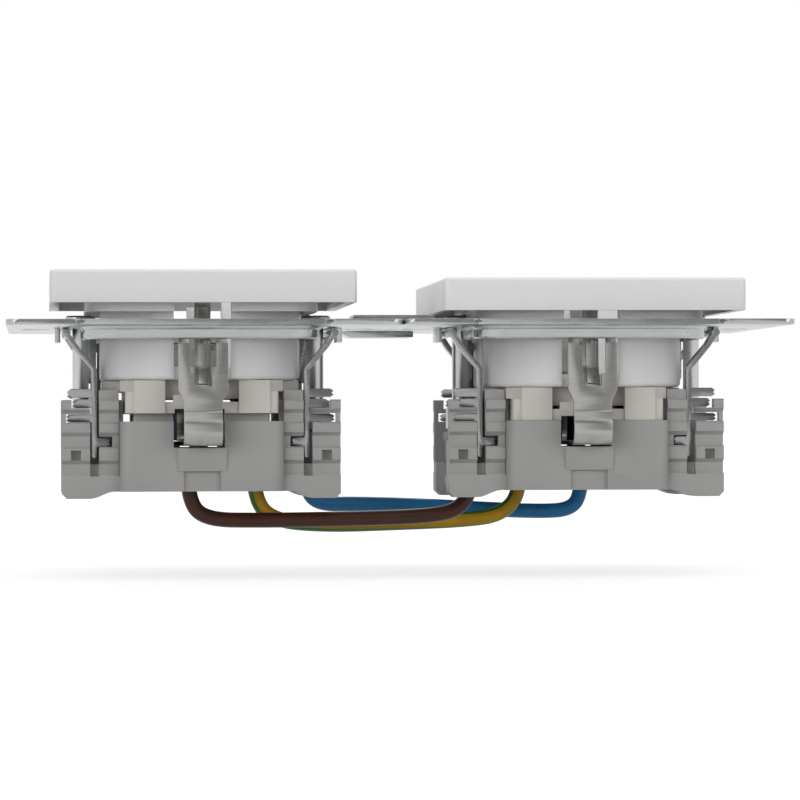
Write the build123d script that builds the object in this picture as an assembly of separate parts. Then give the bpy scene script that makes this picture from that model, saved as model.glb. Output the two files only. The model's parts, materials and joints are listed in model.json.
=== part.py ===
from build123d import *

import os
from math import cos, radians, sin, tan

# A wired pair of flush mains socket inserts, faces up, joined by three link wires.
# Millimetres. +X runs along the pair, +Y towards the rear edge, +Z out of the wall.
# The origin is midway between the inserts, level with the top of their mounting plates.

# The pair
pitch = 71.0
gap_between_plates = 0.1
well_lifts = {"left": 1.45, "right": 0.0}
open_levers = {"right_release_lever_b": 22.0}

# Mounting plate: pressed steel with a drawn skirt round its window
plate_thickness = 1.0
plate_corner = 2.5
window_corner = 5.5
window_side_gap = 2.3
window_end_gap = 2.1
skirt_depth = 3.3
skirt_draw = 0.6
skirt_edge = 0.4
fixing_spacing = 60.0
fixing_slot_width = 3.6
fixing_slot_length = 5.6
edge_notch = 0.9
edge_notch_place = 22.2
tongue_width = 2.4
tongue_bottom = -11.0
tongue_thickness = 1.0
tongue_place = 7.9
tongue_gap = 0.6
lug_drop = 2.5
lug_width = 7.0
bridge_width = 12.0
bridge_reach = 8.0
bridge_place = 16.0
screw_land_half = 2.7
sheet_gap = 0.05

# Cover: one moulding with the plug well
cover_side = 55.3
cover_height = 6.0
cover_gap = 1.75
cover_wall = 1.8
cover_roof = 2.0
cover_corner = 1.0
cover_edge = 0.7
collar_wall = 1.4
collar_gap = 0.25
well_radius = 19.5
well_wall = 1.2
well_depth = 17.5
well_floor = 2.35
well_lip = 0.8
well_flat = 18.3
well_flat_wall = 1.0
pin_spacing = 19.0
pin_hole = 5.4
earth_window = 10.4
well_edge = 0.9
head_room_half = 3.0

# Cover screw
cover_screw_shank = 3.5
cover_screw_head = 7.0
cover_screw_end = -28.2
screw_slip = 0.2
thread_slip = 0.01

# Contact carrier: cream insulator under the well
carrier_gap = 0.05
carrier_half = 18.1
carrier_corner = 8.0
carrier_shoulder = (14.9, 9.9)
carrier_front = 17.2
carrier_slab = 2.05
carrier_lower_half = 14.0
carrier_pad = (6.7, 12.4)
carrier_pad_reach = 0.6
carrier_bottom = -18.2
carrier_wall = 1.4
carrier_roof = 3.4
carrier_notch_depth = 2.4
carrier_notch_drop = 1.9
carrier_notch_ends = (-6.7, 6.7)
carrier_hook = 1.75
carrier_slip = 0.1

# Casing: grey insulator that holds the terminals
casing_bottom = -31.0
casing_front = 18.2
casing_half = 15.0
casing_corner = 2.2
casing_wall = 1.4
casing_floor = 1.5
casing_gap = 0.02
rim_wall = 0.7
rim_rise = 1.8
rim_seat = 1.8
cap_back = 10.2
cap_top = -12.5
cheek = (14.25, 15.2)
cheek_half = 12.9
post_place = 12.8
post_width = 1.1
post_inner = 16.7
post_arm = 1.7
post_gap = 0.05
side_block_end = 23.8
side_block_half = 9.1
side_block_top = -20.2
base_top = -28.2
bay_floor = -26.0
column_front = 15.4
column_back = 12.8
outer_column = (20.35, 25.5)
inner_column = (15.1, 18.7)
foot_drop = 1.3
row_levels = ((-14.25, -16.7), (-18.4, -20.9), (-22.9, -26.0))
row_relief = 1.0
tool_hole = 1.8
strap_mouth = (-5.2, 4.1)
ledge_levels = (-23.1, -27.3)
ledge_reach = 0.9
ledge_half = 4.4
channel_depth = 0.8
channel_half = 3.4

# Earth strap: one bent sheet, a fork at each end
strap_thickness = 0.8
strap_plane = 23.1
strap_fork_half = 4.5
strap_half = 3.5
fork_top = -4.0
fork_slot_bottom = -9.6
centre_slot_bottom = -12.0
strap_taper_top = -12.6
strap_taper_bottom = -14.6
strap_fold = -16.6
strap_bulge = 0.9
strap_run_top = -21.9
strap_bend = 2.4
gusset_half = 1.0
gusset_depth = 0.35
gusset_length = 3.6
finger_half = 1.5
finger_top = 3.4
finger_set_back = 0.4
finger_nose = 1.7

# Poles and terminals, given for the +X pole; the other pole is turned half round
sleeve_wall = 0.65
sleeve_bore = 4.9
sleeve_top = -13.0
sleeve_bottom = -28.4
strip_thickness = 0.8
strip_levels = (-26.9, -23.2)
outer_terminal = (20.5, 6.5)
inner_terminal = (2.4, 10.5)
earth_terminal = (10.0, -5.6)
terminal_half = 1.8
terminal_room = (2.6, 2.1)
spring_fold = 1.15
conductor = 1.38
conductor_slip = 0.03
spring_sheet = 0.4
spring_width = 3.0

# Expanding claws, their screws and nuts
claw_pivot = (24.6, -1.95)
claw_bead = 0.75
claw_leg = 19.5
claw_sheet = 1.0
claw_shoulder = (23.1, -4.3)
claw_kink = -8.6
claw_bottom = -24.4
claw_half = 12.4
claw_leg_width = 3.0
claw_bend = 1.2
claw_swing = 16.0
fang_levels = ((-12.2, -13.8, 24.4), (-14.1, -15.7, 23.5), (-16.9, -18.3, 24.6))
inner_fang = (-21.2, -22.8, 16.6)
ear_levels = (-15.4, -13.6)
ear_width = 1.4
claw_screw_place = 21.9
claw_screw_shank = 3.0
claw_screw_head = 5.6
claw_screw_head_height = 1.5
claw_screw_end = -24.0
nut_rise = 3.2
nut_height = 4.0
nut_inner = 18.85
nut_boss = 2.4
nut_half_width = 9.0
nut_clearance = 0.25
running_fit = 0.05

# Release levers
lever_level = -20.9
lever_gap = 0.2
lever_bay = 9.6
lever_thickness = 0.9
lever_bottom = -30.2
lever_lip = 0.5
lever_width = 3.6
lever_pin = 0.4
lever_place = 6.5
lever_play = 0.1
ear_sheet = 0.8
ear_reach = 0.95

# Link wires: 1.5 mm2 solid copper in PVC
wire = 2.8
wire_hole = 3.6
conductor_top = -23.5
wire_routes = {
    "brown_wire": [
        (-37.9, -10.5, -27.3), (-37.9, -10.4, -32.4), (-34.9, -10.1, -36.3), (-24.0, -9.4, -36.5),
        (-6.0, -8.6, -36.3), (7.0, -7.6, -35.9), (12.4, -6.8, -34.8), (15.0, -6.5, -31.2), (15.0, -6.5, -27.3),
    ],
    "earth_wire": [
        (-25.5, -5.6, -27.3), (-25.5, -5.6, -32.2), (-22.2, -5.2, -36.6), (-12.0, -3.0, -37.6),
        (2.0, 0.6, -37.3), (15.0, 4.0, -36.9), (21.8, 5.3, -36.0), (25.5, 5.6, -32.2), (25.5, 5.6, -27.3),
    ],
    "blue_wire": [
        (-15.0, 6.5, -27.3), (-15.0, 6.5, -31.5), (-12.3, 6.8, -33.9), (-5.5, 7.7, -33.8),
        (6.0, 9.0, -34.2), (18.0, 10.1, -34.9), (30.0, 10.7, -35.5), (36.0, 10.6, -35.1), (37.9, 10.5, -31.9),
        (37.9, 10.5, -27.3),
    ],
}

# Worked out from the sizes above
cover_top = cover_gap + cover_height
well_floor_top = cover_top - well_depth
well_bottom = well_floor_top - well_floor
well_outer = well_radius + well_wall
window_half_x = well_flat + window_side_gap
window_half_y = well_outer + window_end_gap
carrier_top = well_bottom - carrier_gap
carrier_step = carrier_top - carrier_slab
pin_x = pin_spacing / 2
finger_plane = well_radius + finger_set_back
plate_side = pitch - gap_between_plates
nut_top = ear_levels[0] - nut_clearance
lever_pivot = (side_block_end + lever_gap + lever_thickness / 2, lever_level)


def block(x, y, z):
    """Box between the low and high limit on each axis."""
    size = [limits[1] - limits[0] for limits in (x, y, z)]
    middle = [(limits[1] + limits[0]) / 2 for limits in (x, y, z)]
    return Pos(*middle) * Box(*size)


def rod(x, y, z, diameter):
    """Upright cylinder at x, y between the two levels of z."""
    return Pos(x, y, (z[0] + z[1]) / 2) * Cylinder(diameter / 2, z[1] - z[0])


def side_prism(outline, y):
    """Outline drawn in X and Z, carried along Y between two limits."""
    face = make_face(Plane.XZ * Polyline(*outline, close=True))
    return Pos(0, y[0], 0) * extrude(face, y[1] - y[0], dir=(0, 1, 0))


def end_prism(outline, x):
    """Outline drawn in Y and Z, carried along X between two limits."""
    face = make_face(Plane.YZ * Polyline(*outline, close=True))
    return Pos(x[0], 0, 0) * extrude(face, x[1] - x[0], dir=(1, 0, 0))


def plan_prism(outline, z):
    """Outline drawn in X and Y, carried up between two levels."""
    face = make_face(Polyline(*outline, close=True))
    return Pos(0, 0, z[0]) * extrude(face, z[1] - z[0], dir=(0, 0, 1))


def rounded_block(half_x, half_y, z, corner):
    """Box about the Z axis with rounded upright edges."""
    return Pos(0, 0, z[0]) * extrude(RectangleRounded(2 * half_x, 2 * half_y, corner), z[1] - z[0])


def sheet_outline(path, thickness, bend):
    """Closed face of a sheet of even thickness bent along a path in the plane's own axes."""
    line = FilletPolyline(*path, radius=bend)
    return make_face(offset(line, thickness / 2, kind=Kind.INTERSECTION))


def half_turn(shape):
    """The same piece turned half round the Z axis."""
    return Rot(0, 0, 180) * shape


def both_ends(shape):
    """The piece and its half-turned twin."""
    return shape + half_turn(shape)


def mounting_plate(side):
    """Square sheet with a skirted window, fixing slots, claw lugs, guide tongues and one joining bridge."""
    sheet = rounded_block(plate_side / 2, plate_side / 2, (-plate_thickness, 0), plate_corner)
    skirt = rounded_block(
        window_half_x + plate_thickness, window_half_y + plate_thickness, (-skirt_depth, 0),
        window_corner + plate_thickness,
    )
    skirt = chamfer(skirt.faces().sort_by(Axis.Z)[0].edges(), skirt_edge)
    draw = rounded_block(
        window_half_x + plate_thickness + skirt_draw, window_half_y + plate_thickness + skirt_draw,
        (-plate_thickness - skirt_draw, 0), window_corner + plate_thickness + skirt_draw,
    )
    draw = chamfer(draw.faces().sort_by(Axis.Z)[0].edges(), skirt_draw * 0.95)
    plate = sheet + skirt + draw
    for sx in (-1, 1):
        plate += guide_tongue(sx)
        plate += claw_lug(sx)
    if side == "right":
        plate += over_bridge()
    else:
        plate += under_bridge()
    window = rounded_block(window_half_x, window_half_y, (-skirt_depth - 1, 1), window_corner)
    for sx in (-1, 1):
        land = sorted((sx * (well_flat + tongue_gap), sx * (window_half_x + 1)))
        window -= block(land, (-screw_land_half, screw_land_half), (-plate_thickness, 0))
        window -= guide_tongue(sx)
    plate -= window
    through = (-plate_thickness - 1, 1)
    reach = fixing_spacing / 2
    for sx in (-1, 1):
        slot = extrude(SlotOverall(fixing_slot_length, fixing_slot_width), 3)
        plate -= Pos(sx * reach, 0, -2) * slot
        plate -= Pos(0, sx * reach, -2) * slot
        plate -= rod(sx * claw_screw_place, 0, through, claw_screw_shank + 2 * screw_slip)
        gate = sorted((sx * (window_half_x - 1), sx * (window_half_x + plate_thickness + skirt_draw + 0.5)))
        plate -= block(gate, (-screw_land_half, screw_land_half), (-skirt_depth - 1, -plate_thickness))
        for sy in (-1, 1):
            edge = sy * plate_side / 2
            x = sx * edge_notch_place
            notch = [(x - edge_notch, edge), (x, edge - sy * edge_notch), (x + edge_notch, edge), (x, edge + sy)]
            plate -= plan_prism(notch, through)
    return plate


def guide_tongue(sx):
    """Round-ended tongue bent down behind a claw screw."""
    y = (tongue_place - tongue_thickness / 2, tongue_place + tongue_thickness / 2)
    radius = tongue_width / 2
    middle = sx * (well_flat + tongue_gap + radius)
    straight = block((middle - radius, middle + radius), y, (tongue_bottom + radius, -plate_thickness / 2))
    end = Pos(middle, tongue_place, tongue_bottom + radius) * Rot(90, 0, 0) * Cylinder(radius, tongue_thickness)
    return straight + end


def claw_lug(sx):
    """Lug bent down outside the claw's rolled top edge."""
    inner = claw_pivot[0] + claw_bead + 0.3
    x = sorted((sx * inner, sx * (inner + plate_thickness)))
    lug = block(x, (-lug_width / 2, lug_width / 2), (-plate_thickness - lug_drop, -plate_thickness / 2))
    return lug


def over_bridge():
    """Bridge joggled up to lie on the neighbouring plate."""
    edge = -plate_side / 2
    low = (-plate_thickness, 0)
    high = (sheet_gap, plate_thickness + sheet_gap)
    root = edge + bridge_reach
    tip = edge - bridge_reach
    outline = [
        (root, low[0]), (root - 1.5, low[1] - 0.3), (root - 3.0, high[0]), (tip, high[0]), (tip, high[1]),
        (root - 2.6, high[1]), (root, low[1]),
    ]
    y = (-bridge_place - bridge_width / 2, -bridge_place + bridge_width / 2)
    return side_prism(outline, y)


def under_bridge():
    """Bridge joggled down to lie under the neighbouring plate."""
    edge = plate_side / 2
    low = (-2 * plate_thickness - sheet_gap, -plate_thickness - sheet_gap)
    root = edge - bridge_reach
    tip = edge + bridge_reach - 1.5
    outline = [
        (root, -plate_thickness), (root, 0), (root + 3.0, low[1]), (tip, low[1]), (tip, low[0]),
        (root + 2.6, low[0]),
    ]
    y = (bridge_place + 8.0 - bridge_width / 2, bridge_place + 8.0 + bridge_width / 2)
    return side_prism(outline, y)


def cover():
    """Square face with a drawn-in plug well, closed but for pin holes, screw hole and earth windows."""
    rim = rounded_block(cover_side / 2, cover_side / 2, (cover_gap, cover_top), cover_corner)
    rim = fillet(rim.faces().sort_by(Axis.Z)[-1].edges(), cover_edge)
    hollow_half = cover_side / 2 - cover_wall
    roof_under = cover_top - cover_roof
    body = rim - rounded_block(hollow_half, hollow_half, (cover_gap - 1, roof_under), 1.0)
    collar_x = window_half_x + plate_thickness / 2
    collar_y = window_half_y + plate_thickness / 2
    collar = rounded_block(collar_x, collar_y, (collar_gap, roof_under + 0.5), window_corner)
    collar -= rounded_block(
        collar_x - collar_wall, collar_y - collar_wall, (collar_gap - 1, roof_under + 1), window_corner - collar_wall
    )
    body += collar
    for angle in (45, 135, 225, 315):
        body += Rot(0, 0, angle) * block((well_outer - 0.5, 34.0), (-0.6, 0.6), (cover_gap + 1.5, roof_under + 0.5))
    well = rod(0, 0, (well_bottom, roof_under + 0.5), 2 * well_outer)
    well &= block((-well_flat, well_flat), (-well_outer - 1, well_outer + 1), (well_bottom - 1, cover_top))
    well = fillet(well.faces().sort_by(Axis.Z)[0].edges(), well_edge)
    body += well
    for sx in (-1, 1):
        head_room = sorted((sx * (well_flat + screw_slip), sx * (collar_x + 1)))
        body -= block(head_room, (-head_room_half, head_room_half), (collar_gap - 1, cover_gap))
    bore = rod(0, 0, (well_floor_top, cover_top + 1), 2 * well_radius)
    flat = well_flat - well_flat_wall
    bore &= block((-flat, flat), (-well_radius - 1, well_radius + 1), (well_bottom, cover_top + 2))
    body -= bore
    lip = Pos(0, 0, cover_top - well_lip / 2) * Cone(well_radius, well_radius + well_lip, well_lip)
    body -= lip & block((-flat, flat), (-well_radius - 2, well_radius + 2), (cover_gap, cover_top + 1))
    for sx in (-1, 1):
        body -= rod(sx * pin_x, 0, (well_bottom - 1, well_floor_top + 1), pin_hole)
        body -= Pos(sx * pin_x, 0, well_floor_top - 0.3) * Cone(pin_hole / 2, pin_hole / 2 + 0.6, 0.6)
    window_x = (-earth_window / 2, earth_window / 2)
    window_top = roof_under - 0.9
    wall_y = (well_radius - 3.5, collar_y + 1)
    floor_y = (finger_plane - 1.6, collar_y + 1)
    for sy in (-1, 1):
        body -= block(window_x, sorted((sy * wall_y[0], sy * wall_y[1])), (well_floor_top, window_top))
        body -= block(window_x, sorted((sy * floor_y[0], sy * floor_y[1])), (well_bottom - 1, window_top))
    body -= rod(0, 0, (well_bottom - 1, well_floor_top + 1), cover_screw_shank + 2 * screw_slip)
    body -= Pos(0, 0, well_floor_top - 0.9) * Cone(
        cover_screw_shank / 2 + screw_slip, cover_screw_head / 2 + screw_slip, 1.8
    )
    return body


def cover_screw():
    """Countersunk screw with a cross recess, through the well floor into the casing."""
    head = Pos(0, 0, well_floor_top - 0.9) * Cone(cover_screw_shank / 2, cover_screw_head / 2, 1.8)
    shank = rod(0, 0, (cover_screw_end, well_floor_top - 0.5), cover_screw_shank)
    screw = head + shank
    for angle in (0, 90):
        screw -= Rot(0, 0, angle) * block((-2.0, 2.0), (-0.4, 0.4), (well_floor_top - 1.4, well_floor_top + 1))
    return screw


def contact_carrier():
    """Cream slab under the well, with a hollow lower box that closes the casing."""
    slab = rounded_block(carrier_half, carrier_front, (carrier_step, carrier_top), carrier_corner)
    slab_z = (carrier_step - 1, carrier_top + 1)
    slab &= rod(0, 0, slab_z, 2 * well_outer)
    for sx in (-1, 1):
        for sy in (-1, 1):
            corner_x = sorted((sx * carrier_shoulder[0], sx * (carrier_half + 1)))
            corner_y = sorted((sy * carrier_shoulder[1], sy * (carrier_front + 1)))
            slab -= block(corner_x, corner_y, slab_z)
    lower = rounded_block(carrier_lower_half, carrier_front, (carrier_bottom, carrier_step), 0.8)
    roof = carrier_top - carrier_roof
    lower -= block(
        (-carrier_lower_half + carrier_wall, carrier_lower_half - carrier_wall),
        (-carrier_front + carrier_wall, carrier_front - carrier_wall), (carrier_bottom - 1, roof),
    )
    carrier = slab + lower
    for sx in (-1, 1):
        for sy in (-1, 1):
            pad_y = sorted((sy * (carrier_front - 1), sy * (carrier_front + carrier_pad_reach)))
            pad = block(sorted((sx * carrier_pad[0], sx * carrier_pad[1])), pad_y, (carrier_bottom, carrier_top))
            carrier += pad
    for sx in (-1, 1):
        carrier -= rod(sx * pin_x, 0, (carrier_bottom - 1, sleeve_top + 0.1), sleeve_outer() + 2 * screw_slip)
        carrier -= rod(sx * pin_x, 0, (carrier_bottom, carrier_top + 1), pin_hole)
    carrier -= rod(0, 0, (carrier_bottom, carrier_top + 1), cover_screw_shank + 2 * screw_slip)
    notch_low = carrier_step - carrier_notch_drop
    hook_top = notch_low + 1.3
    for turn in (0, 180):
        notch_y = (-carrier_front - 1, -carrier_front + carrier_notch_depth)
        left = block((carrier_notch_ends[0], -strap_half + 0.4), notch_y, (notch_low, carrier_top + 1))
        right = block((strap_half, carrier_notch_ends[1]), notch_y, (notch_low, carrier_top + 1))
        hook_x = (-strap_half - carrier_hook, -strap_half + 0.4)
        hook = block(hook_x, (-carrier_front, -carrier_front + 1.2), (notch_low, hook_top))
        mouth_y = (-carrier_front - 1, -carrier_front + carrier_wall + 1)
        mouth = block((strap_mouth[0] + 0.2, strap_mouth[1]), mouth_y, (carrier_bottom - 1, carrier_bottom + 0.8))
        carrier -= Rot(0, 0, turn) * (left + right)
        carrier += Rot(0, 0, turn) * hook
        carrier -= Rot(0, 0, turn) * mouth
    return carrier


def carrier_seat(sx):
    """Cheek beside the carrier's box and a cap on each inner column of one side."""
    cheek_x = sorted((sx * cheek[0], sx * cheek[1]))
    seat = block(cheek_x, (-cheek_half, cheek_half), (carrier_bottom - 1, row_levels[0][0]))
    cap_x = sorted((sx * inner_column[0], sx * inner_column[1]))
    for sy in (-1, 1):
        cap_y = sorted((sy * cap_back, sy * (post_place + post_width)))
        seat += block(cap_x, cap_y, (row_levels[0][0] - 0.5, cap_top))
    return seat


def plate_post(sx):
    """Post at the rear on an inner column, with an arm that carries the lower edge of the plate's skirt."""
    top = -skirt_depth - post_gap
    y = (post_place, post_place + post_width)
    upright_x = sorted((sx * post_inner, sx * inner_column[1]))
    upright = block(upright_x, y, (cap_top - 1, top))
    arm_x = sorted((sx * post_inner, sx * (window_half_x + plate_thickness)))
    return upright + block(arm_x, y, (top - post_arm, top))


def casing_rim():
    """Rim inside the casing's mouth that stands up behind the carrier's walls."""
    half_x = carrier_lower_half - carrier_wall - carrier_slip
    half_y = carrier_front - carrier_wall - carrier_slip
    top = carrier_bottom - casing_gap
    rim = rounded_block(half_x, half_y, (top - rim_seat, top + rim_rise), rim_wall)
    rim += rounded_block(casing_half - 1, casing_front - 1, (top - rim_seat, top), casing_corner - 1)
    inside = (half_x - rim_wall, half_y - rim_wall)
    room_z = (top - rim_seat - 1, top + rim_rise + 1)
    rim -= block((-inside[0], inside[0]), (-inside[1], inside[1]), room_z)
    for sx in (-1, 1):
        rim -= rod(sx * pin_x, 0, room_z, sleeve_outer() + 2 * screw_slip)
    return rim


def sleeve_outer():
    """Outer diameter of a pin sleeve."""
    return sleeve_bore + 2 * sleeve_wall


def casing_column(sx, sy, limits, rows, foot):
    """Stepped column at one corner: proud rows with sloping undersides on a set-back wall."""
    x = sorted((sx * limits[0], sx * limits[1]))
    front = column_front
    back = column_back
    column = block(x, sorted((sy * back, sy * (front - row_relief))), (base_top, rows[0][0]))
    for top, low in rows:
        slope = [
            (sy * back, low), (sy * (front - row_relief), low), (sy * front, low + 0.7),
            (sy * front, top - 0.25), (sy * (front - 0.25), top), (sy * back, top),
        ]
        column += end_prism(slope, x)
    column += block(x, sorted((sy * back, sy * front)), (foot, base_top + 0.2))
    return column


def casing():
    """Open-topped box with a terminal block each side, claw bays, stepped columns and an earth strap mouth."""
    body = rounded_block(
        casing_half, casing_front, (casing_bottom, carrier_bottom - casing_gap), casing_corner
    )
    for sx in (-1, 1):
        x = sorted((sx * (casing_half - 1), sx * side_block_end))
        body += block(x, (-side_block_half, side_block_half), (casing_bottom, side_block_top))
        x = sorted((sx * (casing_half - 1), sx * outer_column[1]))
        body += block(x, (-column_front, column_front), (casing_bottom, base_top))
        body += block(x, (-column_back, column_back), (casing_bottom, bay_floor))
        for sy in (-1, 1):
            body += casing_column(sx, sy, outer_column, row_levels, casing_bottom)
            body += casing_column(sx, sy, inner_column, row_levels, casing_bottom)
            body += casing_foot(sx, sy)
            body -= fang_gaps(sx, sy)
            body -= tool_pocket(sx, sy)
        body += carrier_seat(sx)
        body += plate_post(sx)
        bay_x = sorted((sx * side_block_end, sx * (outer_column[1] + 1)))
        bay_z = (casing_bottom - foot_drop - 1, side_block_top + 1)
        body -= block(bay_x, (-lever_bay, lever_bay), bay_z)
    cavity = block(
        (-casing_half + casing_wall, casing_half - casing_wall),
        (-casing_front + casing_wall, casing_front - casing_wall), (casing_bottom + casing_floor, 0),
    )
    cavity -= rod(0, 0, (casing_bottom, -23.0), cover_screw_shank + 4.0)
    body -= cavity
    body += casing_rim()
    body -= rod(0, 0, (casing_bottom + casing_floor, -20.0), cover_screw_shank + 2 * thread_slip)
    for turn in (0, 180):
        body -= Rot(0, 0, turn) * terminal_space()
        body += Rot(0, 0, turn) * strap_ledge()
        body -= Rot(0, 0, turn) * strap_cut()
        body += Rot(0, 0, turn) * lever_ears()
    for sx in (-1, 1):
        body -= screw_channel(sx)
    return body


def casing_foot(sx, sy):
    """Foot under a corner, easing up to the flat bottom in a curve."""
    low = casing_bottom - foot_drop
    start = outer_column[0] - 4.5
    outline = [(sx * start, casing_bottom + 0.5), (sx * start, casing_bottom)]
    for step in range(1, 7):
        share = step / 6
        drop = foot_drop * (1 - cos(radians(180 * share))) / 2
        outline.append((sx * (start + 4.5 * share), casing_bottom - drop))
    end = sx * outer_column[1]
    outline += [(end - sx * 0.9, low), (end, low + 0.9), (end, casing_bottom + 0.5)]
    return side_prism(outline, sorted((sy * (column_back - 4.0), sy * column_front)))


def fang_gaps(sx, sy):
    """Slots through a corner's columns for the fangs of a claw."""
    y = sorted((sy * (column_back - 1), sy * (column_front + 1)))
    outer = block(
        sorted((sx * (outer_column[0] - 0.5), sx * (outer_column[1] - 0.8))), y,
        (row_levels[1][0] + 0.05, row_levels[0][1] - 0.05),
    )
    knuckle = block(sorted((sx * (outer_column[0] - 0.5), sx * 23.7)), y, (-15.9, row_levels[0][0] + 1))
    inner = block(
        sorted((sx * (inner_column[0] + 1.2), sx * (inner_column[1] + 0.5))), y,
        (row_levels[2][0] + 0.05, row_levels[1][1] - 0.05),
    )
    return outer + knuckle + inner


def tool_pocket(sx, sy):
    """Square pocket in the third row of an outer column."""
    middle = sx * (outer_column[0] + outer_column[1]) / 2
    half = tool_hole / 2
    y = sorted((sy * (column_back + 0.8), sy * (column_front + 1)))
    return block((middle - half, middle + half), y, (-25.3, -25.3 + tool_hole))


def terminal_space():
    """Room for one pole's outer terminal, its strip's way in and all three wire holes."""
    x, y = outer_terminal
    half_x, half_y = terminal_room
    roof = side_block_top - 1.2
    space = block((x - half_x, x + half_x), (y - half_y, y + half_y), (casing_bottom + casing_floor, roof))
    space += block((casing_half - casing_wall - 1, x), (y + 0.4, y + half_y), (strip_levels[0] - 2.1, roof))
    for hx, hy in (outer_terminal, inner_terminal, earth_terminal):
        space += rod(hx, hy, (casing_bottom - 1, casing_bottom + casing_floor + 0.5), wire_hole)
        space += Pos(hx, hy, casing_bottom + 0.2) * Cone(wire_hole / 2 + 0.4, wire_hole / 2, 0.4)
    return space


def strap_ledge():
    """Sloping ledge under the strap's bend, on the front face."""
    top, low = ledge_levels
    outline = [
        (-casing_front + 1, top), (-casing_front - ledge_reach, top), (-casing_front - ledge_reach + 0.7, low),
        (-casing_front + 1, low),
    ]
    return end_prism(outline, (-ledge_half, ledge_half))


def strap_cut():
    """Mouth through the front wall for the strap and a shallow channel below its ledge."""
    mouth_y = (-casing_front - 2, -carrier_front + carrier_wall + rim_wall + 0.5)
    mouth = block(strap_mouth, mouth_y, (ledge_levels[0] + 0.1, 0))
    channel = block(
        (-channel_half, channel_half), (-casing_front - 1, -casing_front + channel_depth),
        (casing_bottom - 1, ledge_levels[1]),
    )
    return mouth + channel


def screw_channel(sx):
    """Room in a terminal block for the end of the claw screw."""
    return rod(sx * claw_screw_place, 0, (claw_screw_end - 1.5, side_block_top + 1), claw_screw_shank + 0.8)


def lever_ears():
    """Two ears with a bore for the release lever's pin, on the +X terminal block."""
    ears = None
    near = lever_width / 2 + lever_play
    for low in (lever_place - near - ear_sheet, lever_place + near):
        ear = block(
            (side_block_end - 0.5, lever_pivot[0] + ear_reach), (low, low + ear_sheet),
            (lever_pivot[1] - ear_reach, lever_pivot[1] + 0.65),
        )
        ears = ear if ears is None else ears + ear
    bore = Pos(lever_pivot[0], lever_place, lever_pivot[1]) * Rot(90, 0, 0) * Cylinder(
        lever_pin + running_fit, lever_width + 4
    )
    return ears - bore


def terminal_holder():
    """Dark insulating channel that keeps the poles off the earth strap."""
    low = strap_run_top + 0.2
    top = carrier_top - carrier_roof - 0.1
    half_y = carrier_front - carrier_wall - carrier_slip - rim_wall - 0.2
    holder = block((-5.4, 5.4), (-half_y, half_y), (low, top))
    holder -= block((-4.5, 4.5), (-half_y - 1, half_y + 1), (low - 1, top - 0.9))
    holder -= rod(0, 0, (low, top + 1), cover_screw_shank + 1.0)
    return holder


def pole_contact():
    """Split pin sleeve and strip on edge with a tab at each terminal, for the +X pole."""
    sleeve = rod(pin_x, 0, (sleeve_bottom, sleeve_top), sleeve_outer())
    sleeve -= rod(pin_x, 0, (sleeve_bottom - 1, sleeve_top + 1), sleeve_bore)
    sleeve -= block((pin_x, pin_x + 5), (-0.5, 0.5), (sleeve_bottom - 1, sleeve_top + 1))
    inner = conductor / 2 + conductor_slip
    outer_y = (outer_terminal[1] + inner, outer_terminal[1] + inner + strip_thickness)
    inner_y = (inner_terminal[1] - inner - strip_thickness, inner_terminal[1] - inner)
    contact = sleeve
    half_strip = strip_thickness / 2
    contact += block((pin_x - half_strip, pin_x + half_strip), (sleeve_outer() / 2 - 0.3, outer_y[1]), strip_levels)
    far_x = outer_terminal[0] + terminal_half
    end_x = inner_terminal[0] + terminal_half
    contact += block((end_x - strip_thickness, far_x), outer_y, strip_levels)
    contact += block((far_x - 2 * terminal_half, far_x), outer_y, (strip_levels[0], strip_levels[1] + 1.4))
    contact += block((end_x - strip_thickness, end_x), (outer_y[0], inner_y[1]), strip_levels)
    contact += block((inner_terminal[0] - terminal_half, end_x), inner_y, strip_levels)
    return contact


def clamp_leaf(x, y, toward):
    """Folded leaf spring beside a conductor at x, y, on the side that toward gives along Y."""
    top = strip_levels[1] - 0.3
    back = terminal_room[1] - spring_sheet / 2
    near = back - spring_fold + 0.2
    path = [(back, strip_levels[0]), (back, top), (near, top - 0.15), (near, top - 2.4)]
    path = [(y + toward * d, z) for d, z in path]
    face = Plane.YZ * sheet_outline(path, spring_sheet, 0.25)
    return Pos(x - spring_width / 2, 0, 0) * extrude(face, spring_width, dir=(1, 0, 0))


def pole_springs():
    """The two clamp springs of the +X pole."""
    return clamp_leaf(*outer_terminal, -1) + clamp_leaf(*inner_terminal, 1)


def earth_springs():
    """The two clamp springs of the earth terminals."""
    spring = clamp_leaf(*earth_terminal, -1)
    return both_ends(spring)


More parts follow.
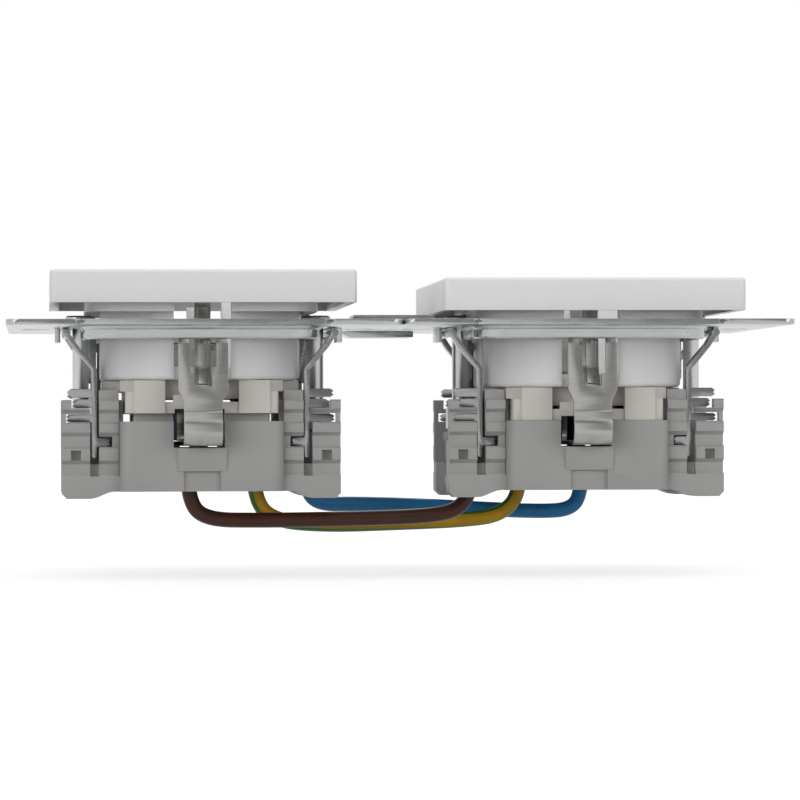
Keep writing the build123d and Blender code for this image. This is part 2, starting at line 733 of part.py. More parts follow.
def earth_strap():
    """Sheet running front to back through the casing, with a fork and a sprung finger at each end."""
    t = strap_thickness
    run_middle = strap_run_top - t / 2
    path = [
        (0, run_middle), (-strap_plane - strap_bulge, run_middle), (-strap_plane - strap_bulge, -18.4),
        (-strap_plane, strap_fold), (-strap_plane, fork_top - 0.2),
    ]
    line = FilletPolyline(*path, radius=[strap_bend, 2.0, 1.5])
    face = Plane.YZ * make_face(offset(line, t / 2, kind=Kind.INTERSECTION))
    half = strap_half
    sheet = Pos(-10, 0, 0) * extrude(face, 20, dir=(1, 0, 0))
    fork = strap_fork_half
    front = [
        (-half, -40.0), (half, -40.0), (half, strap_taper_bottom), (fork, strap_taper_top), (fork, fork_top),
        (-fork, fork_top), (-fork, strap_taper_top), (-half, strap_taper_bottom),
    ]
    sheet &= side_prism(front, (-40.0, 40.0))
    arm_inner = finger_half + 0.9
    slot_y = (-strap_plane - 1, -strap_plane + 1)
    slot_deep = block((-finger_half - 0.15, finger_half + 0.15), slot_y, (centre_slot_bottom, 0))
    slot_wide = block((-arm_inner, arm_inner), slot_y, (fork_slot_bottom, 0))
    sheet -= slot_deep + slot_wide
    for sx in (-1, 1):
        arm = [
            (-strap_plane - t / 2, fork_top - 0.4), (-strap_plane + t / 2, fork_top - 0.4),
            (-strap_plane + 1.5, fork_top + 0.35), (-strap_plane + 0.9, fork_top + 0.75),
        ]
        sheet += end_prism(arm, sorted((sx * (arm_inner + 0.1), sx * (fork - 0.15))))
    finger_path = [
        (-strap_plane, centre_slot_bottom - 1.6), (-strap_plane + 0.5, centre_slot_bottom),
        (-finger_plane, -8.6), (-finger_plane, -4.0), (-finger_plane + finger_nose, -0.8),
        (-finger_plane, finger_top),
    ]
    finger_line = FilletPolyline(*finger_path, radius=[1.0, 1.5, 2.0, 1.2])
    finger_face = Plane.YZ * make_face(offset(finger_line, t / 2, kind=Kind.INTERSECTION))
    finger = Pos(-finger_half, 0, 0) * extrude(finger_face, 2 * finger_half, dir=(1, 0, 0))
    rib = Pos(-0.9, -0.35, 0) * extrude(finger_face, 1.8, dir=(1, 0, 0))
    rib &= block((-2, 2), (-30, 30), (centre_slot_bottom + 0.6, finger_top - 0.8))
    sheet -= strap_gusset()
    half_strap = sheet + finger + rib
    inner = conductor / 2 + conductor_slip
    x, y = earth_terminal
    wing_y = (y + inner, y + inner + strip_thickness)
    half_strap += block((strap_half - 0.2, x + terminal_half), wing_y, (-25.5, strap_run_top))
    half_strap += block((x - terminal_half, x + terminal_half), wing_y, (strip_levels[0], strap_run_top))
    strap = both_ends(half_strap)
    strap -= rod(0, 0, (strap_run_top - 3, strap_run_top + 1), cover_screw_shank + 1.0)
    return strap


def strap_gusset():
    """Tapered dent across the strap's lower bend, wider towards the bottom."""
    bend_outer = strap_bend + strap_thickness / 2
    tip = (gusset_half**2 + gusset_depth**2) / (2 * gusset_depth)
    dent = Cone(tip + gusset_depth / 2, tip - gusset_depth / 2, gusset_length)
    off = bend_outer - gusset_depth + tip
    centre_y = -strap_plane - strap_bulge + strap_bend
    centre_z = strap_run_top - strap_thickness / 2 + strap_bend
    return Pos(0, centre_y, centre_z) * Rot(45, 0, 0) * Pos(0, -off, 0) * dent


def claw():
    """Rolled top edge and two kinked legs with fangs, for the +X side."""
    px, pz = claw_pivot
    t = claw_sheet
    bead = Pos(px, 0, pz) * Rot(90, 0, 0) * Cylinder(claw_bead, 2 * claw_half)
    path = [(px, pz), claw_shoulder, (claw_leg, claw_kink), (claw_leg, claw_bottom)]
    face = Plane.XZ * sheet_outline(path, t, claw_bend)
    piece = bead
    for sy in (-1, 1):
        inner = claw_half - claw_leg_width
        leg = Pos(0, min(sy * inner, sy * claw_half), 0) * extrude(face, claw_leg_width, dir=(0, 1, 0))
        outer_y = sorted((sy * (claw_half - t), sy * claw_half))
        for top, low, reach in fang_levels:
            leg += side_prism(fang_outline(claw_leg, reach, top, low), outer_y)
        top, low, reach = inner_fang
        leg += side_prism(fang_outline(claw_leg, reach, top, low), outer_y)
        ear_y = sorted((sy * (inner - ear_width), sy * (inner + 0.2)))
        leg += block((claw_leg - t / 2, claw_leg + t / 2), ear_y, ear_levels)
        piece += leg
    return piece


def fang_outline(root, tip, top, low):
    """Blunt-pointed tab between two levels, from the leg to its tip."""
    way = 1 if tip > root else -1
    middle = (top + low) / 2
    return [
        (root, low), (tip - way * 0.6, low), (tip, middle - 0.35), (tip - way * 0.35, middle),
        (tip, middle + 0.35), (tip - way * 0.6, top), (root, top),
    ]


def claw_screw():
    """Slotted cheese-head screw that hangs in the plate."""
    x = claw_screw_place
    head = rod(x, 0, (running_fit, claw_screw_head_height), claw_screw_head)
    head = chamfer(head.faces().sort_by(Axis.Z)[-1].edges(), 0.3)
    screw = head + rod(x, 0, (claw_screw_end, 0.5), claw_screw_shank)
    return screw - block((x - 4, x + 4), (-0.35, 0.35), (claw_screw_head_height - 0.8, claw_screw_head_height + 1))


def claw_nut():
    """Wedge nut whose sloping wings push a claw's ears outwards as it rises."""
    low = nut_top - nut_height
    outer_low = nut_inner + (nut_height - 0.4) * wedge_slope()
    outline = [
        (nut_inner, low), (outer_low, low), (outer_low, low + 0.4), (nut_inner + nut_clearance, nut_top),
        (nut_inner, nut_top),
    ]
    nut = side_prism(outline, (-nut_half_width, nut_half_width))
    boss_x = (nut_inner, claw_screw_place + nut_boss)
    nut += block(boss_x, (-claw_screw_shank, claw_screw_shank), (low, nut_top))
    return nut - rod(claw_screw_place, 0, (low - 1, nut_top + 1), claw_screw_shank + 2 * running_fit)


def wedge_slope():
    """Sideways travel of a claw's ear for each millimetre that the nut rises."""
    down = claw_pivot[1] - ear_levels[0]
    inward = claw_pivot[0] - (claw_leg - claw_sheet / 2)
    swing = radians(claw_swing)
    moved = inward - (inward * cos(swing) - down * sin(swing))
    sunk = down * cos(swing) + inward * sin(swing) - down
    return (moved - nut_clearance) / (nut_rise - nut_clearance + sunk)


def release_lever():
    """Flat lever with a lip, hung on its own pin, for the +X terminal block."""
    x, z = lever_pivot
    inner = x - lever_thickness / 2
    outer = x + lever_thickness / 2
    outline = [
        (inner, z + 0.35), (outer, z + 0.35), (outer + 0.1, lever_bottom + 2.2),
        (outer + lever_lip, lever_bottom + 1.1), (outer + lever_lip - 0.1, lever_bottom + 0.5),
        (outer - 0.2, lever_bottom), (inner, lever_bottom),
    ]
    y = (lever_place - lever_width / 2, lever_place + lever_width / 2)
    lever = side_prism(outline, y)
    return lever + Pos(x, lever_place, z) * Rot(90, 0, 0) * Cylinder(lever_pin, lever_width + 1.6)


def swing_open(shape, degrees_open):
    """Lever turned outwards about its pin."""
    x, z = lever_pivot
    return Pos(x, 0, z) * Rot(0, -degrees_open, 0) * Pos(-x, 0, -z) * shape


def corner_radii(points):
    """Arc radius at each inner point: 0.45 of the shorter run over the tangent of half the turn."""
    radii = []
    for before, here, after in zip(points, points[1:], points[2:]):
        into = Vector(here) - Vector(before)
        out = Vector(after) - Vector(here)
        turn = radians(into.get_angle(out))
        radii.append(0.45 * min(into.length, out.length) / tan(turn / 2))
    return radii


def link_wire(name, points):
    """Insulated wire along straight runs joined by arcs."""
    radii = corner_radii(points)
    path = FilletPolyline(*points, radius=radii)
    section = Plane(origin=path @ 0, z_dir=path % 0) * Circle(wire / 2)
    tube = sweep(section, path=path)
    expected = 3.14159265 * (wire / 2) ** 2 * path.length
    print(name, "length", round(path.length, 1), "volume share", round(tube.volume / expected, 4))
    print(name, "radii in diameters", [round(radius / wire, 1) for radius in radii])
    return tube


def bare_ends(points):
    """The stripped copper at both ends of a wire."""
    first, last = points[0], points[-1]
    return rod(first[0], first[1], (first[2], conductor_top), conductor) + rod(
        last[0], last[1], (last[2], conductor_top), conductor
    )


def module_pieces(side):
    """Every piece of one insert, in its own frame, by name."""
    lift = Pos(0, 0, well_lifts[side])
    pieces = {
        "cover": lift * cover(),
        "cover_screw": lift * cover_screw(),
        "mounting_plate": mounting_plate(side),
        "contact_carrier": lift * contact_carrier(),
        "casing": casing(),
        "terminal_holder": terminal_holder(),
        "earth_strap": earth_strap(),
        "neutral_contact": pole_contact(),
        "line_contact": half_turn(pole_contact()),
        "neutral_clamp_springs": pole_springs(),
        "line_clamp_springs": half_turn(pole_springs()),
        "earth_clamp_springs": earth_springs(),
    }
    for letter in ("a", "b"):
        lever = release_lever()
        opened = open_levers.get(f"{side}_release_lever_{letter}", 0.0)
        if opened:
            lever = swing_open(lever, opened)
        parts = {"claw": claw(), "claw_screw": claw_screw(), "claw_nut": claw_nut(), "release_lever": lever}
        for name, shape in parts.items():
            pieces[f"{name}_{letter}"] = half_turn(shape) if letter == "a" else shape
    return pieces


def write(name, shape):
    """Writes one piece to its own file."""
    export_step(shape, f"parts/{name}.step")


os.makedirs("parts", exist_ok=True)
for side, centre in (("left", -pitch / 2), ("right", pitch / 2)):
    for name, shape in module_pieces(side).items():
        write(f"{side}_{name}", Pos(centre, 0, 0) * shape)
for name, points in wire_routes.items():
    write(name, link_wire(name, points))
    write(name.replace("_wire", "_wire_ends"), bare_ends(points))
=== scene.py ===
import json

import bmesh
import bpy
import numpy as np
from mathutils import Matrix, Vector


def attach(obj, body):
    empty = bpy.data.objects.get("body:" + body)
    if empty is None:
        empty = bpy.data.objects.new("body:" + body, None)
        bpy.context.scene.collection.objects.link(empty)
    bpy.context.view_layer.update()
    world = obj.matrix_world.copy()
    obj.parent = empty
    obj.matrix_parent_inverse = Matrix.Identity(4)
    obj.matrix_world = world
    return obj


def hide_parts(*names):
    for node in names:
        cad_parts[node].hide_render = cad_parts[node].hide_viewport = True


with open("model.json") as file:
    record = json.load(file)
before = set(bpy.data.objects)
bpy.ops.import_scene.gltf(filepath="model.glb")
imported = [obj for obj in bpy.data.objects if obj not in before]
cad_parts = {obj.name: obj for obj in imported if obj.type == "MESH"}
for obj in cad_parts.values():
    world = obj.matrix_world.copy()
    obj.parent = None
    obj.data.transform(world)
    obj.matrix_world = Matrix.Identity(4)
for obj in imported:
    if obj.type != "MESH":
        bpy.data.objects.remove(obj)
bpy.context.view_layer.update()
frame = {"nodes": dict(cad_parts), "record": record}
scene = bpy.context.scene
scene.view_settings.view_transform = "Standard"

# The camera: a long lens, almost level with the mounting plates and in front of the left insert,
# turned to the right, so the pair is seen a little from its left end.
camera_place = Vector((-0.06447, -0.74465, -0.01981))
camera_yaw = 0.0894
camera_pitch = 0.0074
camera_roll = -0.0030
focal_pixels = 3988.5
photo_width = 800.0
sensor_width = 36.0

ahead = Vector((
    np.sin(camera_yaw) * np.cos(camera_pitch),
    np.cos(camera_yaw) * np.cos(camera_pitch),
    np.sin(camera_pitch),
))
level_right = Vector((np.cos(camera_yaw), -np.sin(camera_yaw), 0.0))
level_up = level_right.cross(ahead)
camera_right = level_right * np.cos(camera_roll) + level_up * np.sin(camera_roll)
camera_up = camera_right.cross(ahead)
turn = Matrix((camera_right, camera_up, -ahead)).transposed()
lens = bpy.data.cameras.new("camera")
lens.lens = focal_pixels / photo_width * sensor_width
lens.sensor_width = sensor_width
lens.clip_start = 0.01
lens.clip_end = 30.0
camera = bpy.data.objects.new("camera", lens)
camera.matrix_world = Matrix.Translation(camera_place) @ turn.to_4x4()
scene.collection.objects.link(camera)
scene.camera = camera


# Three link wires: solid copper in PVC, brown for line, green and yellow for earth, blue for neutral.
# Each leaves a clamp hole in the left casing, dips under both casings and goes up into the right one.
millimetre = 0.001
wire_diameter = 2.8 * millimetre
wire_routes = {
    "brown_wire": [
        (-37.9, -10.5, -27.3), (-37.9, -10.4, -32.4), (-34.9, -10.1, -36.3), (-24.0, -9.4, -36.5),
        (-6.0, -8.6, -36.3), (7.0, -7.6, -35.9), (12.4, -6.8, -34.8), (15.0, -6.5, -31.2),
        (15.0, -6.5, -27.3),
    ],
    "earth_wire": [
        (-25.5, -5.6, -27.3), (-25.5, -5.6, -32.2), (-22.2, -5.2, -36.6), (-12.0, -3.0, -37.6),
        (2.0, 0.6, -37.3), (15.0, 4.0, -36.9), (21.8, 5.3, -36.0), (25.5, 5.6, -32.2),
        (25.5, 5.6, -27.3),
    ],
    "blue_wire": [
        (-15.0, 6.5, -27.3), (-15.0, 6.5, -31.5), (-12.3, 6.8, -33.9), (-5.5, 7.7, -33.8),
        (6.0, 9.0, -34.2), (18.0, 10.1, -34.9), (30.0, 10.7, -35.5), (36.0, 10.6, -35.1),
        (37.9, 10.5, -31.9), (37.9, 10.5, -27.3),
    ],
}
wire_colours = {
    "brown_wire": (0.052, 0.014, 0.007),
    "earth_wire": (0.52, 0.30, 0.006),
    "blue_wire": (0.022, 0.20, 0.46),
}
green = (0.030, 0.17, 0.028)
green_stripes = 2
stripe_phase = 5.34
stripe_drift = 0.12
stripe_fade = (0.10, 0.16)
route_steps = 14
tube_sides = 28
rearward = np.array((0.0, 1.0, 0.0))


def grid_mesh(name, places, across, along):
    """A surface from a grid of points, one row for each value of the first parameter.

    Each square of four neighbouring points is a face. The two parameters, from 0 to 1, are its UV map.
    Points that coincide, at a seam or a pole, are welded afterwards, which closes the surface.
    """
    rows, columns = places.shape[:2]
    index = np.arange(rows * columns).reshape(rows, columns)
    corners = (index[:-1, :-1], index[:-1, 1:], index[1:, 1:], index[1:, :-1])
    faces = np.stack(corners, axis=-1).reshape(-1, 4)
    mesh = bpy.data.meshes.new(name)
    mesh.from_pydata(places.reshape(-1, 3).tolist(), [], faces.tolist())
    chart = np.stack(np.meshgrid(along, across, indexing="ij"), axis=-1).reshape(-1, 2)
    layer = mesh.uv_layers.new(name="UVMap")
    layer.data.foreach_set("uv", chart[faces.reshape(-1)].ravel())
    weld = bmesh.new()
    weld.from_mesh(mesh)
    bmesh.ops.remove_doubles(weld, verts=weld.verts, dist=1e-8)
    bmesh.ops.recalc_face_normals(weld, faces=weld.faces)
    weld.to_mesh(mesh)
    weld.free()
    mesh.shade_smooth()
    return mesh


def place_piece(name, mesh, body, material):
    """Puts a finished mesh into the scene as one piece that rides on a body."""
    piece = bpy.data.objects.new(name, mesh)
    scene.collection.objects.link(piece)
    mesh.materials.clear()
    mesh.materials.append(material)
    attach(piece, body)
    return piece


def route_line(points):
    """Points along the smooth NURBS line that has the route's points as its control points."""
    curve = bpy.data.curves.new("route", "CURVE")
    curve.dimensions = "3D"
    curve.resolution_u = route_steps
    spline = curve.splines.new("NURBS")
    spline.points.add(len(points) - 1)
    for point, place in zip(spline.points, points):
        point.co = (*(np.array(place) * millimetre), 1.0)
    spline.order_u = 3
    spline.use_endpoint_u = True
    holder = bpy.data.objects.new("route", curve)
    line = bpy.data.meshes.new_from_object(holder)
    places = np.array([vertex.co for vertex in line.vertices])
    bpy.data.objects.remove(holder)
    bpy.data.meshes.remove(line)
    return places


def round_tube(name, line, diameter):
    """A round tube about a line, with flat closed ends.

    At each point of the line a circle stands square to it: side times cosine plus up times sine of the
    angle, times the radius. Side is the line's direction crossed with rearward, up is side crossed with
    the direction. One more circle with no radius at each end of the line closes the tube.
    """
    direction = np.gradient(line, axis=0)
    direction /= np.linalg.norm(direction, axis=1)[:, None]
    side = np.cross(direction, rearward)
    side /= np.linalg.norm(side, axis=1)[:, None]
    up = np.cross(side, direction)
    angle = np.linspace(0, 2 * np.pi, tube_sides + 1)
    cosine = np.cos(angle)[None, :, None]
    sine = np.sin(angle)[None, :, None]
    places = line[:, None, :] + (side[:, None, :] * cosine + up[:, None, :] * sine) * diameter / 2
    caps = np.repeat(line[[0, -1], None, :], tube_sides + 1, axis=1)
    places = np.concatenate((caps[:1], places, caps[1:]))
    run = np.concatenate(([0.0], np.cumsum(np.linalg.norm(np.diff(line, axis=0), axis=1))))
    along = np.concatenate(([0.0], run / run[-1], [1.0]))
    return grid_mesh(name, places, across=angle / (2 * np.pi), along=along)


def start_material(name, roughness, metallic=0.0):
    """A material, its node tree and its Principled shader."""
    material = bpy.data.materials.new(name)
    material.use_nodes = True
    tree = material.node_tree
    shader = tree.nodes["Principled BSDF"]
    shader.inputs["Roughness"].default_value = roughness
    shader.inputs["Metallic"].default_value = metallic
    return material, tree, shader


def stretched(tree, source, scale):
    """Coordinates through a Mapping node, multiplied by scale."""
    mapping = tree.nodes.new("ShaderNodeMapping")
    mapping.inputs["Scale"].default_value = scale
    tree.links.new(source, mapping.inputs["Vector"])
    return mapping.outputs["Vector"]


def object_place(tree, scale=(1.0, 1.0, 1.0)):
    """Object coordinates, multiplied by scale."""
    source = tree.nodes.new("ShaderNodeTexCoord")
    return stretched(tree, source.outputs["Object"], scale)


def noise(tree, place, scale, detail):
    """Fractal noise at a place, as one number about 0.5."""
    node = tree.nodes.new("ShaderNodeTexNoise")
    node.inputs["Scale"].default_value = scale
    node.inputs["Detail"].default_value = detail
    tree.links.new(place, node.inputs["Vector"])
    return node.outputs["Fac"]


def calculate(tree, operation, *values):
    """One step of arithmetic on numbers and sockets."""
    node = tree.nodes.new("ShaderNodeMath")
    node.operation = operation
    for socket, value in zip(node.inputs, values):
        if isinstance(value, float):
            socket.default_value = value
        else:
            tree.links.new(value, socket)
    return node.outputs[0]


def spread(tree, value, low, high, source=(0.3, 0.7)):
    """The number mapped from its source span to the span from low to high."""
    node = tree.nodes.new("ShaderNodeMapRange")
    node.inputs["From Min"].default_value = source[0]
    node.inputs["From Max"].default_value = source[1]
    node.inputs["To Min"].default_value = low
    node.inputs["To Max"].default_value = high
    tree.links.new(value, node.inputs["Value"])
    return node.outputs["Result"]


def blend_colours(tree, share, first, second):
    """A colour between two, by a share from 0 to 1. Each of the two is a colour or a socket."""
    node = tree.nodes.new("ShaderNodeMix")
    node.data_type = "RGBA"
    for socket, colour in ((node.inputs[6], first), (node.inputs[7], second)):
        if isinstance(colour, tuple):
            socket.default_value = (*colour, 1.0)
        else:
            tree.links.new(colour, socket)
    tree.links.new(share, node.inputs[0])
    return node.outputs[2]


def shade(colour, factor):
    """A colour made lighter or darker by a factor."""
    return tuple(min(1.0, channel * factor) for channel in colour)


def add_bump(tree, shader, height, depth, under=None):
    """Bump of a depth in metres, over another bump where one is given."""
    node = tree.nodes.new("ShaderNodeBump")
    node.inputs["Distance"].default_value = depth
    tree.links.new(height, node.inputs["Height"])
    if under is not None:
        tree.links.new(under, node.inputs["Normal"])
    tree.links.new(node.outputs["Normal"], shader.inputs["Normal"])
    return node.outputs["Normal"]


def cable_pvc(name, colour, second=None):
    """Extruded PVC: faint lines along the wire, smears of handling, and a second colour as stripes.

    The UV map runs along the wire in X and round it in Y. A stripe is where the cosine of the place
    round the wire, which drifts a little along it, is above a level.
    """
    material, tree, shader = start_material(name, 0.34)
    spots = noise(tree, object_place(tree), 260.0, 4.0)
    body = blend_colours(tree, spread(tree, spots, 0.0, 1.0), shade(colour, 0.86), shade(colour, 1.12))
    chart = tree.nodes.new("ShaderNodeUVMap")
    chart.uv_map = "UVMap"
    if second is not None:
        parts = tree.nodes.new("ShaderNodeSeparateXYZ")
        tree.links.new(chart.outputs["UV"], parts.inputs["Vector"])
        place = calculate(tree, "MULTIPLY_ADD", parts.outputs["X"], stripe_drift, parts.outputs["Y"])
        angle = calculate(tree, "MULTIPLY_ADD", place, green_stripes * 2 * np.pi, stripe_phase)
        stripe = spread(tree, calculate(tree, "COSINE", angle), 0.0, 1.0, stripe_fade)
        body = blend_colours(tree, stripe, body, second)
    tree.links.new(body, shader.inputs["Base Color"])
    tree.links.new(spread(tree, spots, 0.28, 0.42), shader.inputs["Roughness"])
    lines = stretched(tree, chart.outputs["UV"], (3.0, 60.0, 1.0))
    add_bump(tree, shader, noise(tree, lines, 1.0, 2.0), 0.00003)
    shader.inputs["Specular IOR Level"].default_value = 0.3
    return material


for wire, points in wire_routes.items():
    line = route_line(points)
    pvc = cable_pvc(wire + "_pvc", wire_colours[wire], green if wire == "earth_wire" else None)
    tube = round_tube(wire + "_tube", line, wire_diameter)
    piece = place_piece(wire + "_tube", tube, "inserts", pvc)
    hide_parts(wire)


# Bare copper at both ends of each wire, pushed into its clamp.
# Drawn round wire, a little dulled where it was stripped.
def drawn_metal(name, colour, roughness):
    """Metal with fine lines of drawing or rolling, long along Z, and cloudy patches of oxide."""
    material, tree, shader = start_material(name, roughness, 1.0)
    clouds = noise(tree, object_place(tree), 140.0, 5.0)
    lines = noise(tree, object_place(tree, (1.0, 1.0, 0.02)), 5200.0, 2.0)
    tone = spread(tree, clouds, 0.0, 1.0)
    body = blend_colours(tree, tone, shade(colour, 0.93), shade(colour, 1.04))
    tree.links.new(body, shader.inputs["Base Color"])
    tree.links.new(spread(tree, clouds, roughness * 0.92, roughness * 1.12), shader.inputs["Roughness"])
    add_bump(tree, shader, lines, 0.000004)
    return material


def dress(nodes, material):
    """Gives a material to CAD nodes that stay as they are."""
    for node in nodes:
        mesh = frame["nodes"][node].data
        mesh.materials.clear()
        mesh.materials.append(material)


copper = drawn_metal("bare_copper", (0.72, 0.36, 0.22), 0.30)
dress([wire + "_ends" for wire in wire_routes], copper)


# Covers: one white moulding on each insert, with a square face, a plug well and its walls.
# Thermoplastic from a finely blasted mould, with gently rounded edges.
sides = ("left", "right")
body_of_node = {}
for body, members in frame["record"]["behaviour"]["bodies"].items():
    body_of_node.update(dict.fromkeys(members, body))
weld_gap = 0.002 * millimetre
flat_angle = 0.02
sharp_angle = 0.6
cover_edge = 0.12 * millimetre


def rounded_piece(node, edge, material):
    """A merged copy that stands for a CAD node, with its sharp edges rounded by a Bevel modifier."""
    mesh = frame["nodes"][node].data.copy()
    weld = bmesh.new()
    weld.from_mesh(mesh)
    bmesh.ops.remove_doubles(weld, verts=weld.verts, dist=weld_gap)
    bmesh.ops.dissolve_limit(weld, angle_limit=flat_angle, verts=weld.verts, edges=weld.edges)
    weld.to_mesh(mesh)
    weld.free()
    mesh.shade_smooth()
    piece = place_piece(node + "_piece", mesh, body_of_node[node], material)
    bevel = piece.modifiers.new("rounded edges", "BEVEL")
    bevel.width = edge
    bevel.segments = 2
    bevel.limit_method = "ANGLE"
    bevel.angle_limit = sharp_angle
    bevel.harden_normals = True
    bevel.use_clamp_overlap = True
    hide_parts(node)


def moulded_plastic(name, colour, roughness, mottle, grain_scale, grain_depth, coat=0.0):
    """Moulded plastic: faint flow clouds in the colour, a fine blasted grain and patches of shine."""
    material, tree, shader = start_material(name, roughness)
    clouds = noise(tree, object_place(tree), 90.0, 4.0)
    grain = noise(tree, object_place(tree), grain_scale, 3.0)
    tone = spread(tree, clouds, 0.0, 1.0)
    body = blend_colours(tree, tone, shade(colour, 1 - mottle), shade(colour, 1 + mottle))
    tree.links.new(body, shader.inputs["Base Color"])
    tree.links.new(spread(tree, clouds, roughness * 0.9, roughness * 1.12), shader.inputs["Roughness"])
    add_bump(tree, shader, grain, grain_depth)
    shader.inputs["Coat Weight"].default_value = coat
    shader.inputs["Coat Roughness"].default_value = 0.2
    return material


white_plastic = moulded_plastic(
    "white_plastic", colour=(0.82, 0.82, 0.82), roughness=0.36, mottle=0.012,
    grain_scale=4200.0, grain_depth=0.000012, coat=0.08,
)
for side in sides:
    rounded_piece(side + "_cover", cover_edge, white_plastic)


# Cover screws: one through the middle of each well's floor, into the casing.
# Zinc plated steel with a countersunk head.
cover_screw_edge = 0.08 * millimetre
zinc = drawn_metal("zinc_plating", (0.56, 0.57, 0.58), 0.34)
for side in sides:
    rounded_piece(side + "_cover_screw", cover_screw_edge, zinc)


# Mounting plates: 1 mm strip steel, zinc plated, punched, with a drawn skirt round the window.
# They carry the covers, the claws and the casings, and each has one bridge to its neighbour.
plate_edge = 0.15 * millimetre


def plated_sheet(name, colour, roughness):
    """Plated sheet: rolled streaks along X, small spangle cells and dull patches."""
    material, tree, shader = start_material(name, roughness, 1.0)
    streaks = noise(tree, object_place(tree, (0.08, 1.0, 1.0)), 2600.0, 3.0)
    clouds = noise(tree, object_place(tree), 160.0, 5.0)
    cells = tree.nodes.new("ShaderNodeTexVoronoi")
    cells.inputs["Scale"].default_value = 900.0
    tree.links.new(object_place(tree), cells.inputs["Vector"])
    tone = calculate(tree, "MULTIPLY_ADD", streaks, 0.6, calculate(tree, "MULTIPLY", clouds, 0.4))
    tone_span = (0.36, 0.64)
    share = spread(tree, tone, 0.0, 1.0, tone_span)
    shine = spread(tree, tone, roughness * 0.92, roughness * 1.12, tone_span)
    body = blend_colours(tree, share, shade(colour, 0.90), shade(colour, 1.05))
    tree.links.new(body, shader.inputs["Base Color"])
    tree.links.new(shine, shader.inputs["Roughness"])
    first = add_bump(tree, shader, streaks, 0.000003)
    add_bump(tree, shader, cells.outputs["Distance"], 0.000003, under=first)
    return material


sheet_steel = plated_sheet("plated_sheet", (0.46, 0.47, 0.475), 0.26)
for side in sides:
    rounded_piece(side + "_mounting_plate", plate_edge, sheet_steel)


# Contact carriers: the insulators under the wells, which close the casings from above.
# Cream urea mouldings, matt.
carrier_edge = 0.12 * millimetre
cream_plastic = moulded_plastic(
    "cream_plastic", colour=(0.66, 0.635, 0.585), roughness=0.42, mottle=0.02,
    grain_scale=3600.0, grain_depth=0.000015,
)
for side in sides:
    rounded_piece(side + "_contact_carrier", carrier_edge, cream_plastic)


# Casings: the lower insulators, which hold the terminals and end in stepped columns.
# Light grey glass-filled mouldings, matt and slightly rough.
casing_edge = 0.15 * millimetre
grey_plastic = moulded_plastic(
    "grey_plastic", colour=(0.385, 0.38, 0.37), roughness=0.5, mottle=0.03,
    grain_scale=2600.0, grain_depth=0.00003,
)
for side in sides:
    rounded_piece(side + "_casing", casing_edge, grey_plastic)


# Terminal holders: insulating channels that keep the earth straps off the other contacts.
# Dark blue mouldings, seen through the casings' mouths.
blue_plastic = moulded_plastic(
    "dark_blue_plastic", colour=(0.010, 0.035, 0.085), roughness=0.45, mottle=0.05,
    grain_scale=3000.0, grain_depth=0.00002,
)
dress([side + "_terminal_holder" for side in sides], blue_plastic)


# Earth straps: one strip of tinned brass in each insert, punched and bent.
# Each ends front and rear in a fork and a sprung finger that reaches into the well.
strap_edge = 0.12 * millimetre
tinned = plated_sheet("tinned_strip", (0.40, 0.395, 0.375), 0.30)
for side in sides:
    rounded_piece(side + "_earth_strap", strap_edge, tinned)


# Line and neutral contacts: a rolled pin sleeve, with a strip to its two terminals.
# Pressed from one piece of brass each.
brass = drawn_metal("pressed_brass", (0.72, 0.53, 0.22), 0.28)
dress([side + "_" + pole + "_contact" for side in sides for pole in ("line", "neutral")], brass)


# Clamp springs: folded leaves that hold the wires in the screwless terminals.
# Stainless spring steel, two leaves for each pole.
poles = ("line", "neutral", "earth")
spring_steel = drawn_metal("spring_steel", (0.50, 0.51, 0.53), 0.25)
dress([side + "_" + pole + "_clamp_springs" for side in sides for pole in poles], spring_steel)


# Expanding claws: two on each insert, hung in the mounting plate beside the columns.
# Zinc plated sheet, with a rolled top edge and two legs that end in fangs.
letters = ("a", "b")
claw_edge = 0.10 * millimetre
claw_sheet = plated_sheet("claw_sheet", (0.36, 0.37, 0.36), 0.26)
for side in sides:
    for letter in letters:
        rounded_piece(side + "_claw_" + letter, claw_edge, claw_sheet)


# Claw screws and nuts: slotted cheese-head screws that hang in the plate, with wedge nuts.
# Turning a screw draws its nut up, which pushes the claw out. Both are zinc plated steel.
claw_screw_edge = 0.08 * millimetre
nut_edge = 0.10 * millimetre
nut_zinc = drawn_metal("nut_zinc", (0.52, 0.52, 0.51), 0.40)
for side in sides:
    for letter in letters:
        rounded_piece(side + "_claw_screw_" + letter, claw_screw_edge, zinc)
        rounded_piece(side + "_claw_nut_" + letter, nut_edge, nut_zinc)


# Release levers: flat levers hung on pins at the side blocks; pressing one frees the wires.
# Small mouldings in the casings' grey.
lever_edge = 0.12 * millimetre
for side in sides:
    for letter in letters:
        rounded_piece(side + "_release_lever_" + letter, lever_edge, grey_plastic)


# The studio: a plain white floor and background, and soft distant lamps in front, above and behind.
# The white comes from what the camera and shiny surfaces see, not from more light, and a grey card
# behind the camera, which only shiny surfaces see, keeps metal that faces the camera grey.
floor_level = -0.0465
floor_half = 6.0
floor_grey = 0.50
floor_glow = 0.60
sky_level = 0.35
card_place = -1.7
card_half_width = 1.6
card_half_height = 0.9
card_glow = 0.24


def rectangle(name, corners):
    """One flat face through four corners."""
    mesh = bpy.data.meshes.new(name)
    mesh.from_pydata(corners, [], [(0, 1, 2, 3)])
    thing = bpy.data.objects.new(name, mesh)
    scene.collection.objects.link(thing)
    return thing


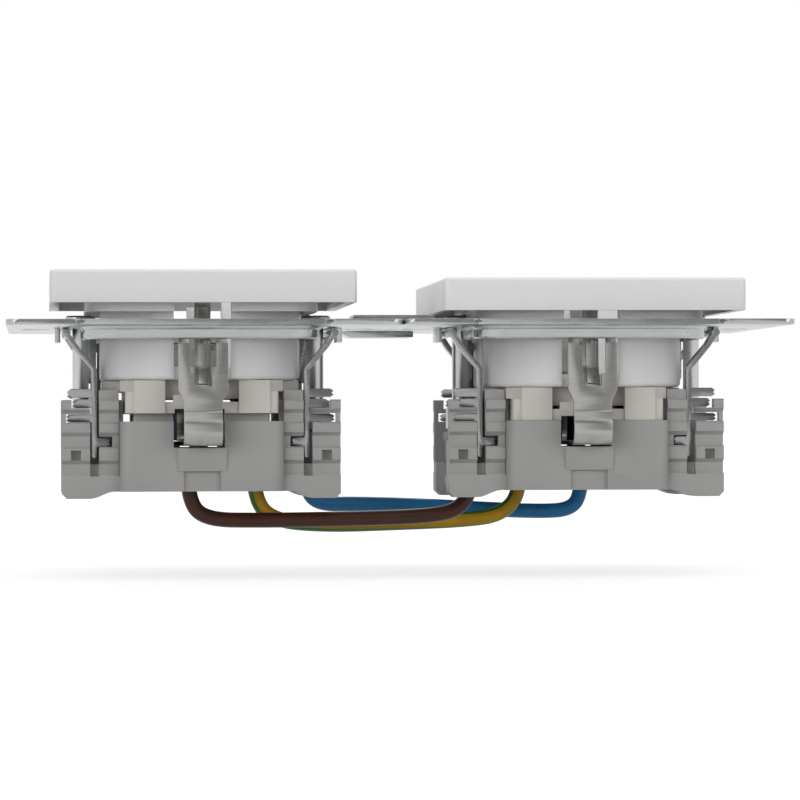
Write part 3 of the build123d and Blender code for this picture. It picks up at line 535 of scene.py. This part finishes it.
def seen_directly(tree):
    """1 for rays from the camera, off shiny surfaces or through clear ones, else 0."""
    path = tree.nodes.new("ShaderNodeLightPath")
    first = calculate(tree, "MAXIMUM", path.outputs["Is Camera Ray"], path.outputs["Is Glossy Ray"])
    return calculate(tree, "MAXIMUM", first, path.outputs["Is Transmission Ray"])


floor = rectangle("floor", [
    (-floor_half, -floor_half, floor_level), (floor_half, -floor_half, floor_level),
    (floor_half, floor_half, floor_level), (-floor_half, floor_half, floor_level),
])
floor_paint, floor_tree, floor_shader = start_material("floor_paint", 0.9)
floor_shader.inputs["Base Color"].default_value = (floor_grey, floor_grey, floor_grey, 1.0)
glow = floor_tree.nodes.new("ShaderNodeEmission")
glow_strength = calculate(floor_tree, "MULTIPLY", seen_directly(floor_tree), floor_glow)
floor_tree.links.new(glow_strength, glow.inputs["Strength"])
together = floor_tree.nodes.new("ShaderNodeAddShader")
floor_tree.links.new(floor_shader.outputs[0], together.inputs[0])
floor_tree.links.new(glow.outputs[0], together.inputs[1])
floor_tree.links.new(together.outputs[0], floor_tree.nodes["Material Output"].inputs["Surface"])
floor.data.materials.append(floor_paint)

sky = bpy.data.worlds.new("studio")
scene.world = sky
sky.use_nodes = True
sky_tree = sky.node_tree
sky_light = sky_tree.nodes["Background"]
sky_light.inputs["Color"].default_value = (1.0, 1.0, 1.0, 1.0)
sky_strength = spread(sky_tree, seen_directly(sky_tree), sky_level, 1.0, (0.0, 1.0))
sky_tree.links.new(sky_strength, sky_light.inputs["Strength"])


def soft_sun(name, place, level, width):
    """A distant lamp, shining from a place towards the origin; it lights a white face to the level."""
    lamp = bpy.data.lights.new(name, "SUN")
    lamp.angle = width
    lamp.energy = level * np.pi
    thing = bpy.data.objects.new(name, lamp)
    thing.matrix_world = (-Vector(place)).to_track_quat("-Z", "Y").to_matrix().to_4x4()
    scene.collection.objects.link(thing)


soft_sun("left_lamp", place=(-0.60, -0.85, 0.14), level=0.34, width=0.7)
soft_sun("right_lamp", place=(0.65, -0.85, 0.10), level=0.27, width=0.7)
soft_sun("top_lamp", place=(0.0, -0.15, 0.95), level=0.26, width=1.0)
soft_sun("rear_lamp", place=(0.15, 0.90, 0.45), level=0.22, width=0.8)

card = rectangle("card", [
    (-card_half_width, card_place, -card_half_height), (card_half_width, card_place, -card_half_height),
    (card_half_width, card_place, card_half_height), (-card_half_width, card_place, card_half_height),
])
card_paint, card_tree, card_shader = start_material("card_paint", 0.9)
card_shader.inputs["Base Color"].default_value = (0.0, 0.0, 0.0, 1.0)
card_shader.inputs["Emission Color"].default_value = (1.0, 1.0, 1.0, 1.0)
card_shader.inputs["Emission Strength"].default_value = card_glow
card.data.materials.append(card_paint)
card.visible_camera = False
card.visible_diffuse = False
card.visible_shadow = False
